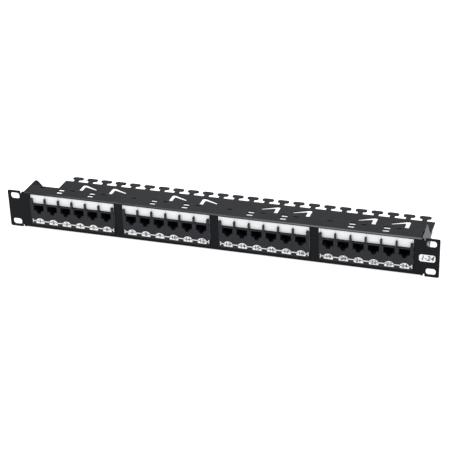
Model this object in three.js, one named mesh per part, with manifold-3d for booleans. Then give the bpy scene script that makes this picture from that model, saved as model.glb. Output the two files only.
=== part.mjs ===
// Rack patch panel, one rack unit high: a folded steel front with four six-way jack
// modules, their circuit boards and wiring blocks, and a cable tray with lacing tabs.
// Millimetres. +X to the right seen from the front, +Y to the back, +Z up.
// The origin is the middle of the front face of the steel.

import * as THREE from 'three';
import { mergeVertices } from 'three/addons/utils/BufferGeometryUtils.js';
import Module from 'manifold-3d';

const wasm = await Module();
wasm.setup();

// ---- rack standard ----
const panelWidth = 482.6;
const panelHeight = 44;
const slotInset = 8.75;
const slotDrop = 6.125;
const slotWidth = 10.3;
const slotHeight = 7;
const slotCornerRadius = 2.6;

// ---- folded front panel ----
const sheet = 1.5;
const earWidth = 16.5;
const flangeDrop = 0.5;
const bendRadius = 1.4;
const flangeDepth = 19.2;
const earCornerRadius = 1.6;
const reliefWidth = 1.6;
const reliefDepth = 3;
const reliefTaper = 0.6;

// ---- windows and ports ----
const moduleCount = 4;
const portsPerModule = 6;
const endMargin = 10.25;
const postWidth = 9.7;
const windowEnd = 1.79;
const portShift = 0.5;
const windowDrop = 0.4;
const windowSill = 3.3;
const windowClearance = 0.5;

// ---- side arms, welded into the ends of the front ----
const armSheet = 1.2;
const armInset = 2.6;
const armLength = 29;
const armCrown = 3;
const armFootCut = 10;
const armBackHeight = 11;
const armReach = 25;

// ---- jack module ----
const bezelProud = 2;
const bezelBack = 3.2;
const socketWall = 2.2;
const socketDepth = 12.6;
const socketBackWall = 3.4;
const socketWidth = 11.7;
const socketTop = 7.9;
const socketHeight = 6.9;
const latchWidth = 6.2;
const latchDepth = 1.7;
const keyWidth = 4;
const keyDepth = 1.9;
const ledgeHeight = 0.8;
const backingThickness = 2.4;
const ribDrop = 3.3;
const ribWidth = 2;
const shoulderWidth = 2.9;
const shoulderDrop = 0.8;
const catchReach = 0.9;
const catchDepth = 3;
const catchHeight = 6;
const catchOffset = 9;

// ---- white designation strip above the ports ----
const stripFace = 0.8;
const stripThickness = 0.7;

// ---- number labels below the ports ----
const numberRise = 2;
const numberHeight = 6.2;
const numberWidth = 10;
const numberShift = 0.7;
const numberBase = 0.35;
const numberLineRise = 4.9;
const numberLineHeight = 1;
const numberThickness = 0.3;
const numberLeftInset = 1.5;
const numberRightInset = 0;
const numberEndWidth = 1;
const numberEndHeight = 4.2;

// ---- spring contacts, eight to a socket ----
const contactCount = 8;
const contactPitch = 1.02;
const contactWidth = 0.46;
const contactThickness = 0.34;
const contactLength = 7;
const contactRootDepth = 1;
const contactSlope = 22;
const contactPocketFront = 3.8;
const contactPocketDepth = 1.2;
const contactSideGap = 0.6;

// ---- circuit boards and wiring blocks ----
const boardThickness = 1.6;
const boardInset = 1.5;
const boardDrop = 5.7;
const boardRise = 0.6;
const blocksPerModule = 3;
const blockGap = 1.9;
const blockBaseDepth = 4;
const blockToothDepth = 9.2;
const blockDrop = 7.2;
const blockRise = 2;
const blockTeeth = 9;
const blockToothWidth = 1.9;

// ---- tie-down holes and slots in the top flange ----
const tieOffset = 18.35;
const tieShift = 0.7;
const tieHoleWidth = 6.8;
const tieHoleFront = 6.4;
const tieHoleMargin = 1.8;
const tieBridge = 1.6;
const flangeSlotWidth = 5.4;
const flangeSlotDepth = 1.6;
const flangeSlotMargin = 3.6;
const flangeSlotShift = -5;
const flangeSlotsPerModule = 3;

// ---- cable tray ----
const traySheet = 1.2;
const trayHeight = 9.1;
const trayInset = 1.2;
const trayGap = 6.6;
const trayWingLength = 44;
const trayWingWidth = 2.5;
const trayDepth = 23;
const tabCount = 24;
const tabMargin = 5.62;
const tabHeadWidth = 13.3;
const tabHeadDepth = 6.4;
const tabHeadRadius = 2.9;
const tabNeckWidth = 5.7;
const tabNeckLength = 5.8;
const hookPairs = 2;
const hookMargin = 46.2;
const hookInnerX = 62.3;
const hookPitch = 36.9;
const hookSlotWidth = 4.6;
const hookBackMargin = 5.6;
const hookArmReach = 17;
const hookArmDrop = 7.4;
const hookArmWidth = 5;
const hookCorner = 1.6;
const hookEase = 0.4;
const lipHeight = 9.4;
const lipLength = 40;

// ---- tray screws, two through each lip into the arm ----
const screwRadius = 1.5;
const screwFrontMargin = 6;
const screwBackMargin = 8;
const screwHeight = 4.4;
const screwHeadRadius = 2.8;
const screwHeadHeight = 1.8;

// ---- badge on the right end ----
const badgeInset = 12.7;
const badgeZ = -0.5;
const badgeWidth = 16.8;
const badgeHeight = 8;
const badgeRadius = 2.4;
const badgeThickness = 0.4;

// ---- fits and roundness ----
const clearance = 0.3;
const labelGap = 0.1;
const weld = 0.2;
const through = 1;
const roundSegments = 3;
const barSegments = 16;

// ---- worked-out places across the panel ----
const halfWidth = panelWidth / 2;
const bodyWidth = panelWidth - 2 * earWidth;
const windowWidth = (bodyWidth - 2 * endMargin - (moduleCount - 1) * postWidth) / moduleCount;
const modulePitch = windowWidth + postWidth;
const portPitch = (windowWidth - 2 * windowEnd) / portsPerModule;
const bezelHalf = windowWidth / 2 - windowClearance;
const boardHalf = windowWidth / 2 - boardInset;
const blockPitch = portsPerModule * portPitch / blocksPerModule;
const blockWidth = blockPitch - blockGap;
const contactSpan = (contactCount - 1) * contactPitch + contactWidth;
const armOuter = bodyWidth / 2 - armInset;
const armInner = armOuter - armSheet;
const lipOuter = armInner - clearance;
const lipInner = lipOuter - traySheet;
const trayHalf = lipOuter - trayInset;
const trayWingInner = trayHalf - trayWingWidth;
const hookPairPitch = (trayHalf - hookMargin - hookInnerX) / (hookPairs - 1);
const tabPitch = (2 * (trayHalf - tabMargin) - tabHeadWidth) / (tabCount - 1);

// ---- worked-out heights ----
const halfHeight = panelHeight / 2;
const slotZ = halfHeight - slotDrop;
const halfBody = halfHeight - flangeDrop;
const flangeInside = halfBody - sheet;
const windowTop = flangeInside - windowDrop;
const windowBottom = -flangeInside + windowSill;
const bezelTop = windowTop - windowClearance;
const bezelBottom = windowBottom + windowClearance;
const socketBottom = socketTop - socketHeight;
const latchBottom = socketBottom - latchDepth;
const keyBottom = latchBottom - keyDepth;
const ledgeTop = socketTop + ledgeHeight;
const ribTop = bezelTop - ribDrop;
const numberBottom = bezelBottom + numberRise;
const numberLine = bezelBottom + numberLineRise;
const boardTop = bezelTop - boardDrop;
const boardBottom = bezelBottom + boardRise;
const blockTop = boardTop - blockDrop;
const blockBottom = boardBottom + blockRise;
const trayTop = -halfBody + trayHeight;
const trayBottom = trayTop - traySheet;
const lipTop = trayTop + lipHeight;
const screwZ = trayTop + screwHeight;
const armBackZ = -halfBody + armBackHeight;
const contactSlopeRadians = THREE.MathUtils.degToRad(contactSlope);
const contactRootZ = socketTop + contactPocketDepth - clearance - contactThickness / 2
  - contactRootDepth * Math.sin(contactSlopeRadians);

// ---- worked-out depths ----
const stripBack = stripFace + stripThickness;
const contactRootY = contactPocketFront + contactRootDepth + clearance;
const socketBodyBack = socketDepth + socketBackWall;
const boardFront = socketBodyBack + clearance;
const boardBack = boardFront + boardThickness;
const blockFront = boardBack + clearance;
const blockBase = blockFront + blockBaseDepth;
const blockTips = blockBase + blockToothDepth;
const tieHoleBack = flangeDepth - tieHoleMargin;
const flangeSlotY = flangeDepth - flangeSlotMargin;
const trayWingFront = blockTips + trayGap;
const trayFront = trayWingFront + trayWingLength;
const trayBack = trayFront + trayDepth;
const tabHeadFront = trayBack + tabNeckLength;
const hookApexY = trayBack - hookBackMargin;
const lipBack = trayWingFront + lipLength;
const armBackY = trayWingFront + armReach;
const armFootY = armBackY - armFootCut;
const armShoulderY = armBackY - armLength;
const screwPlaces = [trayWingFront + screwFrontMargin, armBackY - screwBackMargin];
const screwHole = screwRadius + clearance;

const moduleX = (index) => (index - (moduleCount - 1) / 2) * modulePitch;
const portX = (port) => (port - (portsPerModule - 1) / 2) * portPitch + portShift;
const blockX = (block) => (block - (blocksPerModule - 1) / 2) * blockPitch;
const tabX = (tab) => (tab - (tabCount - 1) / 2) * tabPitch;

// ---- materials ----
const finish = (color, roughness, metalness) => (
  new THREE.MeshStandardMaterial({ color, roughness, metalness })
);
const blackPowderCoat = () => finish(0x232428, 0.5, 0.2);
const blackPlastic = () => finish(0x303236, 0.45, 0);
const whiteCard = () => finish(0xecedea, 0.6, 0);
const goldPlate = () => finish(0xd8a848, 0.3, 1);
const greenBoard = () => finish(0x1d4a30, 0.5, 0);
const blackBlock = () => finish(0x2a2b2e, 0.5, 0);
const zincPlate = () => finish(0xb8bbbe, 0.35, 1);

// ---- solids: three.js shapes joined and cut by manifold ----
function solid(geometry) {
  const bare = geometry.clone();
  bare.deleteAttribute('normal');
  bare.deleteAttribute('uv');
  const merged = mergeVertices(bare, 1e-4);
  const vertProperties = new Float32Array(merged.attributes.position.array);
  const triVerts = new Uint32Array(merged.index.array);
  return new wasm.Manifold(new wasm.Mesh({ numProp: 3, vertProperties, triVerts }));
}

function geometryOf(body) {
  const mesh = body.getMesh();
  const geometry = new THREE.BufferGeometry();
  geometry.setAttribute('position', new THREE.BufferAttribute(new Float32Array(mesh.vertProperties), 3));
  geometry.setIndex(new THREE.BufferAttribute(new Uint32Array(mesh.triVerts), 1));
  geometry.computeVertexNormals();
  return geometry;
}

function join(bodies) {
  return bodies.reduce((whole, next) => whole.add(next));
}

function cut(body, cutters) {
  return cutters.reduce((rest, next) => rest.subtract(next), body);
}

function block(x0, x1, y0, y1, z0, z1) {
  const geometry = new THREE.BoxGeometry(x1 - x0, y1 - y0, z1 - z0);
  geometry.translate((x0 + x1) / 2, (y0 + y1) / 2, (z0 + z1) / 2);
  return solid(geometry);
}

function extruded(shape, depth) {
  const settings = { depth, bevelEnabled: false, curveSegments: roundSegments };
  return new THREE.ExtrudeGeometry(shape, settings);
}

// A drawing in X and Z, given thickness from y0 back to y1.
function plateXZ(shape, y0, y1) {
  const geometry = extruded(shape, y1 - y0);
  geometry.rotateX(Math.PI / 2);
  geometry.translate(0, y1, 0);
  return solid(geometry);
}

// A drawing in X and Y, given thickness from z0 up to z1.
function plateXY(shape, z0, z1) {
  const geometry = extruded(shape, z1 - z0);
  geometry.translate(0, 0, z0);
  return solid(geometry);
}

// A drawing in Y and Z, given thickness from x0 across to x1.
function plateYZ(shape, x0, x1) {
  const geometry = extruded(shape, x1 - x0);
  const basis = new THREE.Matrix4().makeBasis(
    new THREE.Vector3(0, 1, 0),
    new THREE.Vector3(0, 0, 1),
    new THREE.Vector3(1, 0, 0),
  );
  geometry.applyMatrix4(basis);
  geometry.translate(x0, 0, 0);
  return solid(geometry);
}

// A round bar along X.
function barX(y, z, radius, x0, x1) {
  const geometry = new THREE.CylinderGeometry(radius, radius, x1 - x0, barSegments);
  geometry.rotateZ(Math.PI / 2);
  geometry.translate((x0 + x1) / 2, y, z);
  return solid(geometry);
}

function mirrored(body) {
  return body.mirror([1, 0, 0]);
}

function polygon(points) {
  return new THREE.Shape(points.map(([a, b]) => new THREE.Vector2(a, b)));
}

function roundedRectangle(x, y, width, height, radius) {
  const shape = new THREE.Shape();
  const [left, right] = [x - width / 2, x + width / 2];
  const [low, high] = [y - height / 2, y + height / 2];
  shape.moveTo(left + radius, low);
  shape.lineTo(right - radius, low);
  shape.absarc(right - radius, low + radius, radius, -Math.PI / 2, 0);
  shape.lineTo(right, high - radius);
  shape.absarc(right - radius, high - radius, radius, 0, Math.PI / 2);
  shape.lineTo(left + radius, high);
  shape.absarc(left + radius, high - radius, radius, Math.PI / 2, Math.PI);
  shape.lineTo(left, low + radius);
  shape.absarc(left + radius, low + radius, radius, Math.PI, 1.5 * Math.PI);
  return shape;
}

// ---- folded steel front ----
// One ear's outline from the bottom of the body out to the end and up to the top.
function earOutline() {
  const bodyEdge = bodyWidth / 2;
  const earEdge = bodyEdge + reliefWidth;
  const taper = reliefTaper / 2;
  const reliefEnd = halfHeight - reliefDepth;
  const corner = new THREE.Path();
  corner.absarc(halfWidth - earCornerRadius, halfHeight - earCornerRadius, earCornerRadius, 0, Math.PI / 2);
  const upper = corner.getPoints(roundSegments).map(({ x, y }) => [x, y]);
  upper.push([earEdge, halfHeight], [earEdge - taper, reliefEnd]);
  upper.push([bodyEdge + taper, reliefEnd], [bodyEdge, halfBody - bendRadius]);
  upper.push([bodyEdge - bendRadius / 2, halfBody], [armOuter, halfBody], [armOuter, halfBody - bendRadius]);
  const lower = upper.map(([x, z]) => [x, -z]).reverse();
  return lower.concat(upper);
}

function panelFace() {
  const right = earOutline();
  const left = right.map(([x, z]) => [-x, z]).reverse();
  const shape = polygon(right.concat(left));
  for (const x of [slotInset - halfWidth, halfWidth - slotInset]) {
    for (const z of [-slotZ, slotZ]) {
      shape.holes.push(roundedRectangle(x, z, slotWidth, slotHeight, slotCornerRadius));
    }
  }
  return plateXZ(shape, 0, sheet);
}

// The lip folded back along the top (side 1) or the bottom (side -1).
function panelFlange(side) {
  const root = halfBody - bendRadius - sheet;
  const profile = new THREE.Shape();
  profile.moveTo(0, root);
  profile.lineTo(0, halfBody - bendRadius);
  profile.absarc(bendRadius, halfBody - bendRadius, bendRadius, Math.PI, Math.PI / 2, true);
  profile.lineTo(flangeDepth, halfBody);
  profile.lineTo(flangeDepth, flangeInside);
  profile.lineTo(sheet, flangeInside);
  profile.lineTo(sheet, root);
  const lip = plateYZ(profile, -armOuter, armOuter);
  return side > 0 ? lip : lip.mirror([0, 0, 1]);
}

function panelCutters() {
  const cutters = [];
  const top = [flangeInside - through, halfBody + through];
  const bridgeY = (tieHoleFront + tieHoleBack) / 2;
  for (let index = 0; index < moduleCount; index += 1) {
    const x = moduleX(index);
    const half = windowWidth / 2;
    cutters.push(block(x - half, x + half, -through, sheet + through, windowBottom, windowTop));
    for (const side of [-1, 1]) {
      const left = x + tieShift + side * tieOffset - tieHoleWidth / 2;
      const right = left + tieHoleWidth;
      cutters.push(block(left, right, tieHoleFront, bridgeY - tieBridge / 2, ...top));
      cutters.push(block(left, right, bridgeY + tieBridge / 2, tieHoleBack, ...top));
    }
    for (let slot = 0; slot < flangeSlotsPerModule; slot += 1) {
      const slotX = x + flangeSlotShift + (slot - 1) * 2 * tieOffset;
      const halfSlot = flangeSlotWidth / 2;
      const [front, back] = [flangeSlotY - flangeSlotDepth / 2, flangeSlotY + flangeSlotDepth / 2];
      cutters.push(block(slotX - halfSlot, slotX + halfSlot, front, back, ...top));
    }
  }
  return cutters;
}

// The arm at the right end: full height at the steel, sloping down to the tray behind.
function sideArm() {
  const fall = armCrown * (halfBody - armBackZ) / armLength;
  const profile = polygon([
    [sheet / 2, -halfBody + bendRadius], [bendRadius, -halfBody], [armFootY, -halfBody],
    [armBackY, armBackZ], [armShoulderY + armCrown, halfBody - fall],
    [armShoulderY + armCrown / 4, halfBody - fall / 4], [armShoulderY - armCrown, halfBody],
    [bendRadius, halfBody], [sheet / 2, halfBody - bendRadius],
  ]);
  const holes = screwPlaces.map((y) => barX(y, screwZ, screwHole, armInner - through, armOuter + through));
  return cut(plateYZ(profile, armInner, armOuter), holes);
}

function frontPanel() {
  const folded = join([panelFace(), panelFlange(1), panelFlange(-1)]);
  return join([cut(folded, panelCutters()), sideArm(), mirrored(sideArm())]);
}

// ---- six-way jack module ----
// One socket: the plug's opening with the latch's two steps under it, and a pocket in
// its roof for the spring contacts.
function socketCutter(x) {
  const [half, latch, key] = [socketWidth / 2, latchWidth / 2, keyWidth / 2];
  const mouth = polygon([
    [x - key, keyBottom], [x + key, keyBottom], [x + key, latchBottom],
    [x + latch, latchBottom], [x + latch, socketBottom], [x + half, socketBottom],
    [x + half, socketTop], [x - half, socketTop], [x - half, socketBottom],
    [x - latch, socketBottom], [x - latch, latchBottom], [x - key, latchBottom],
  ]);
  const pocketHalf = contactSpan / 2 + contactSideGap;
  const pocketTop = socketTop + contactPocketDepth;
  const [left, right] = [x - pocketHalf, x + pocketHalf];
  const pocket = block(left, right, contactPocketFront, socketDepth, socketBottom + through, pocketTop);
  return join([plateXZ(mouth, -bezelProud - through, socketDepth), pocket]);
}

// A ramped catch on the side of the module, behind the steel.
function sideCatch(side, z) {
  const front = sheet + clearance;
  const outer = bezelHalf + catchReach;
  const root = bezelHalf - weld;
  const ramp = polygon([
    [root, front], [outer, front], [outer, front + catchReach], [root, front + catchDepth],
  ]);
  const body = plateXY(ramp, z - catchHeight / 2, z + catchHeight / 2);
  return side > 0 ? body : mirrored(body);
}

function jackBlock() {
  const wide = bezelHalf;
  const socketHalf = (portsPerModule / 2) * portPitch;
  const postBack = stripFace - clearance;
  const shoulderTop = ribTop - shoulderDrop;
  const backing = stripBack + clearance;
  const foot = ledgeTop - weld;
  const [sleeveBottom, sleeveTop] = [keyBottom - socketWall, socketTop + socketWall];
  const parts = [
    block(-wide, wide, -bezelProud, bezelBack, bezelBottom, ledgeTop),
    block(-wide, wide, backing, backing + backingThickness, foot, bezelTop),
    block(-socketHalf, socketHalf, bezelBack - weld, socketBodyBack, sleeveBottom, sleeveTop),
    block(-wide, -wide + shoulderWidth, -bezelProud, postBack, foot, shoulderTop),
    block(wide - shoulderWidth, wide, -bezelProud, postBack, foot, shoulderTop),
  ];
  for (let rib = 1; rib < portsPerModule; rib += 1) {
    const x = (rib - portsPerModule / 2) * portPitch;
    const [left, right] = [x - ribWidth / 2, x + ribWidth / 2];
    parts.push(block(left, right, -bezelProud, postBack, foot, ribTop));
  }
  for (const side of [-1, 1]) {
    for (const z of [-catchOffset, catchOffset]) parts.push(sideCatch(side, z));
  }
  const sockets = [];
  for (let port = 0; port < portsPerModule; port += 1) sockets.push(socketCutter(portX(port)));
  return cut(join(parts), sockets);
}

function labelStrip() {
  const half = bezelHalf;
  return block(-half, half, stripFace, stripBack, ledgeTop + clearance, bezelTop);
}

// ---- printed numbers: a thin line of label with a round-topped tab under each port ----
function numberTab(x) {
  const half = numberWidth / 2;
  const base = numberHeight * numberBase;
  const shape = new THREE.Shape();
  shape.moveTo(x - half, numberBottom);
  shape.lineTo(x + half, numberBottom);
  shape.absellipse(x, numberBottom + base, half, numberHeight - base, 0, Math.PI);
  return shape;
}

function numberStrip() {
  const back = -bezelProud - labelGap;
  const front = back - numberThickness;
  const [left, right] = [numberLeftInset - bezelHalf, bezelHalf - numberRightInset];
  const line = [numberLine - numberLineHeight / 2, numberLine + numberLineHeight / 2];
  const end = [numberLine - numberEndHeight / 2, numberLine + numberEndHeight / 2];
  const parts = [
    block(left, right, front, back, ...line),
    block(left, left + numberEndWidth, front, back, ...end),
    block(right - numberEndWidth, right, front, back, ...end),
  ];
  for (let port = 0; port < portsPerModule; port += 1) {
    parts.push(plateXZ(numberTab(portX(port) + numberShift), front, back));
  }
  return join(parts);
}

// ---- spring contacts: a flat comb, drawn from its root back to its tips ----
// The comb's own zero is the middle of its root, which is its pivot.
function contactComb() {
  const half = contactSpan / 2;
  const points = [[half, -contactRootDepth]];
  for (let wire = contactCount - 1; wire >= 0; wire -= 1) {
    const left = -half + wire * contactPitch;
    const right = left + contactWidth;
    if (wire < contactCount - 1) points.push([right, 0]);
    points.push([right, contactLength], [left, contactLength]);
    if (wire > 0) points.push([left, 0]);
  }
  points.push([-half, -contactRootDepth]);
  return plateXY(polygon(points), -contactThickness / 2, contactThickness / 2);
}

// ---- board and wiring blocks ----
function circuitBoard() {
  return block(-boardHalf, boardHalf, boardFront, boardBack, boardBottom, boardTop);
}

// A row of teeth with a wire slot between each two, on a solid base.
function wiringBlock() {
  const half = blockWidth / 2;
  const gap = (blockWidth - blockTeeth * blockToothWidth) / (blockTeeth - 1);
  const points = [[-half, blockFront], [half, blockFront]];
  for (let tooth = blockTeeth - 1; tooth >= 0; tooth -= 1) {
    const left = -half + tooth * (blockToothWidth + gap);
    if (tooth < blockTeeth - 1) points.push([left + blockToothWidth, blockBase]);
    points.push([left + blockToothWidth, blockTips], [left, blockTips]);
    if (tooth > 0) points.push([left, blockBase]);
  }
  return plateXY(polygon(points), blockBottom, blockTop);
}

// ---- cable tray ----
// The lacing tabs run out of the back edge, from the right to the left.
function lacingTab(shape, x) {
  const neck = tabNeckWidth / 2;
  const half = tabHeadWidth / 2;
  const radius = tabHeadRadius;
  const [front, back] = [tabHeadFront, tabHeadFront + tabHeadDepth];
  shape.lineTo(x + neck, trayBack);
  shape.lineTo(x + neck, front);
  shape.absarc(x + half - radius, front + radius, radius, -Math.PI / 2, 0);
  shape.absarc(x + half - radius, back - radius, radius, 0, Math.PI / 2);
  shape.absarc(x - half + radius, back - radius, radius, Math.PI / 2, Math.PI);
  shape.absarc(x - half + radius, front + radius, radius, Math.PI, 1.5 * Math.PI);
  shape.lineTo(x - neck, front);
  shape.lineTo(x - neck, trayBack);
}

function trayPlate() {
  const shape = new THREE.Shape();
  shape.moveTo(-trayWingInner, trayFront);
  shape.lineTo(trayWingInner, trayFront);
  shape.lineTo(trayWingInner, trayWingFront);
  shape.lineTo(trayHalf, trayWingFront);
  shape.lineTo(trayHalf, trayBack);
  for (let tab = tabCount - 1; tab >= 0; tab -= 1) lacingTab(shape, tabX(tab));
  shape.lineTo(-trayHalf, trayBack);
  shape.lineTo(-trayHalf, trayWingFront);
  shape.lineTo(-trayWingInner, trayWingFront);
  return plateXY(shape, trayBottom, trayTop);
}

// A hooked slot from the front edge of the tray: back, then slanting towards the middle.
function hookSlot(side, x) {
  const [inner, outer] = [x - hookSlotWidth / 2, x + hookSlotWidth / 2];
  const open = trayFront - through;
  const [tipX, tipY] = [x - hookArmReach, hookApexY - hookArmDrop];
  const slot = polygon([
    [inner, open], [outer, open], [outer, hookApexY - hookCorner], [outer - hookCorner, hookApexY],
    [inner, hookApexY], [tipX, tipY], [tipX - hookEase, tipY - hookArmWidth + hookEase],
    [inner, hookApexY - hookArmWidth - hookEase],
  ]);
  const body = plateXY(slot, trayBottom - through, trayTop + through);
  return side > 0 ? body : mirrored(body);
}

// The lip folded up at the right end of the tray, which the screws go through.
function trayLip() {
  const wall = block(lipInner, lipOuter, trayWingFront, lipBack, trayBottom, lipTop);
  const root = block(trayHalf - weld, lipInner + weld, trayWingFront, lipBack, trayBottom, trayTop);
  const holes = screwPlaces.map((y) => barX(y, screwZ, screwHole, lipInner - through, lipOuter + through));
  return cut(join([wall, root]), holes);
}

function cableTray() {
  const slots = [];
  for (let pair = 0; pair < hookPairs; pair += 1) {
    const pairX = trayHalf - hookMargin - pair * hookPairPitch;
    for (const side of [-1, 1]) {
      slots.push(hookSlot(side, pairX - hookPitch / 2), hookSlot(side, pairX + hookPitch / 2));
    }
  }
  return join([cut(trayPlate(), slots), trayLip(), mirrored(trayLip())]);
}

// ---- fixings and badge ----
// A pan-headed screw from the middle outwards, its head against the lip.
function trayScrew() {
  const headOuter = lipInner - clearance;
  const head = barX(0, 0, screwHeadRadius, headOuter - screwHeadHeight, headOuter);
  return join([head, barX(0, 0, screwRadius, headOuter - weld, armOuter)]);
}

function badge() {
  const shape = roundedRectangle(0, 0, badgeWidth, badgeHeight, badgeRadius);
  const back = -labelGap;
  return plateXZ(shape, back - badgeThickness, back);
}

// ---- assembly ----
function place(group, name, geometry, material, x = 0, y = 0, z = 0) {
  const mesh = new THREE.Mesh(geometry, material);
  mesh.name = name;
  mesh.position.set(x, y, z);
  group.add(mesh);
  return mesh;
}

const panel = new THREE.Group();
place(panel, 'front_panel', geometryOf(frontPanel()), blackPowderCoat());
place(panel, 'cable_tray', geometryOf(cableTray()), blackPowderCoat());
place(panel, 'badge', geometryOf(badge()), whiteCard(), halfWidth - badgeInset, 0, badgeZ);

const jackShape = geometryOf(jackBlock());
const stripShape = geometryOf(labelStrip());
const numberShape = geometryOf(numberStrip());
const boardShape = geometryOf(circuitBoard());
const blockShape = geometryOf(wiringBlock());
const combShape = geometryOf(contactComb());
const twoDigits = (number) => String(number).padStart(2, '0');

for (let index = 0; index < moduleCount; index += 1) {
  const unit = new THREE.Group();
  unit.position.x = moduleX(index);
  panel.add(unit);
  place(unit, `jack_block_${index + 1}`, jackShape, blackPlastic());
  place(unit, `label_strip_${index + 1}`, stripShape, whiteCard());
  place(unit, `number_strip_${index + 1}`, numberShape, whiteCard());
  place(unit, `circuit_board_${index + 1}`, boardShape, greenBoard());
  for (let row = 0; row < blocksPerModule; row += 1) {
    const name = `wiring_block_${twoDigits(index * blocksPerModule + row + 1)}`;
    place(unit, name, blockShape, blackBlock(), blockX(row));
  }
  for (let port = 0; port < portsPerModule; port += 1) {
    const name = `contact_comb_${twoDigits(index * portsPerModule + port + 1)}`;
    const comb = place(unit, name, combShape, goldPlate(), portX(port), contactRootY, contactRootZ);
    comb.rotation.x = -contactSlopeRadians;
  }
}

const screwShapes = [geometryOf(mirrored(trayScrew())), geometryOf(trayScrew())];
screwShapes.forEach((shape, side) => {
  screwPlaces.forEach((y, row) => {
    place(panel, `tray_screw_${side * screwPlaces.length + row + 1}`, shape, zincPlate(), 0, y, screwZ);
  });
});

export default panel;
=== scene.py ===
import math
import bmesh
import bpy
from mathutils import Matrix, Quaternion, Vector


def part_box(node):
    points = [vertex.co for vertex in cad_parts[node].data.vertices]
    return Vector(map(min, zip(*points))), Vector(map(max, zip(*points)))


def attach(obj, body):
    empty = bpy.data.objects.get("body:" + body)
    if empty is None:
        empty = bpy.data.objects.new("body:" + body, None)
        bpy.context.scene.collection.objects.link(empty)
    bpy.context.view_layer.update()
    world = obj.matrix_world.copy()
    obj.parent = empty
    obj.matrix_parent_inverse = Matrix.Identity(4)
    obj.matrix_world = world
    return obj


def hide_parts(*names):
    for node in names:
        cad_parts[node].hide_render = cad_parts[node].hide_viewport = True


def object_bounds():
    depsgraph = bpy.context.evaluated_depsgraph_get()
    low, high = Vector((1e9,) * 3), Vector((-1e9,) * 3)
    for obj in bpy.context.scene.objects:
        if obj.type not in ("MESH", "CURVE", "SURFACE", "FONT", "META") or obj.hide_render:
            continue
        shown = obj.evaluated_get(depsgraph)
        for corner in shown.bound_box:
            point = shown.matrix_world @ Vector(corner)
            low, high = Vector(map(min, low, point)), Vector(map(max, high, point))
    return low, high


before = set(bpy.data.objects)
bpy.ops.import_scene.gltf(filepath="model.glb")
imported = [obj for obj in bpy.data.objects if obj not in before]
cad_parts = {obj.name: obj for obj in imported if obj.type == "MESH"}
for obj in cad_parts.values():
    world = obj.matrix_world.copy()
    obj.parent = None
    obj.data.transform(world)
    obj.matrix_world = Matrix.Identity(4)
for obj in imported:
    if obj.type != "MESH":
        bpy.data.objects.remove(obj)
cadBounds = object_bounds()
mm = 0.001

print("reading the frame")


def boxOf(node):  # a node's corners in millimetres
    low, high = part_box(node)
    return Vector(low) / mm, Vector(high) / mm


def middleX(node):
    low, high = boxOf(node)
    return (low.x + high.x) / 2


steelHigh = boxOf("front_panel")[1]
trayHigh = boxOf("cable_tray")[1]
moduleNumbers = range(1, 5)
portNumbers = range(1, 25)
moduleX = {n: middleX(f"label_strip_{n}") for n in moduleNumbers}
portX = {n: middleX(f"contact_comb_{n:02d}") for n in portNumbers}
blockX = {n: middleX(f"wiring_block_{n:02d}") for n in range(1, 13)}


class Signal:  # a value or colour on its way through a material
    def __init__(self, shader, socket):
        self.shader = shader
        self.socket = socket

    def maths(self, operation, other, swapped=False):
        pair = [other, self] if swapped else [self, other]
        settings = {"operation": operation}
        return self.shader.node("ShaderNodeMath", settings, {0: pair[0], 1: pair[1]})

    def __add__(self, other):
        return self.maths("ADD", other)

    def __radd__(self, other):
        return self.maths("ADD", other)

    def __sub__(self, other):
        return self.maths("SUBTRACT", other)

    def __rsub__(self, other):
        return self.maths("SUBTRACT", other, True)

    def __mul__(self, other):
        return self.maths("MULTIPLY", other)

    def __rmul__(self, other):
        return self.maths("MULTIPLY", other)

    def __truediv__(self, other):
        return self.maths("DIVIDE", other)

    def __rtruediv__(self, other):
        return self.maths("DIVIDE", other, True)

    def below(self, other):
        return self.maths("LESS_THAN", other)

    def above(self, other):
        return self.maths("GREATER_THAN", other)

    def wrapped(self, size):  # distance from the nearest whole multiple of size
        return self.maths("PINGPONG", size / 2)


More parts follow.
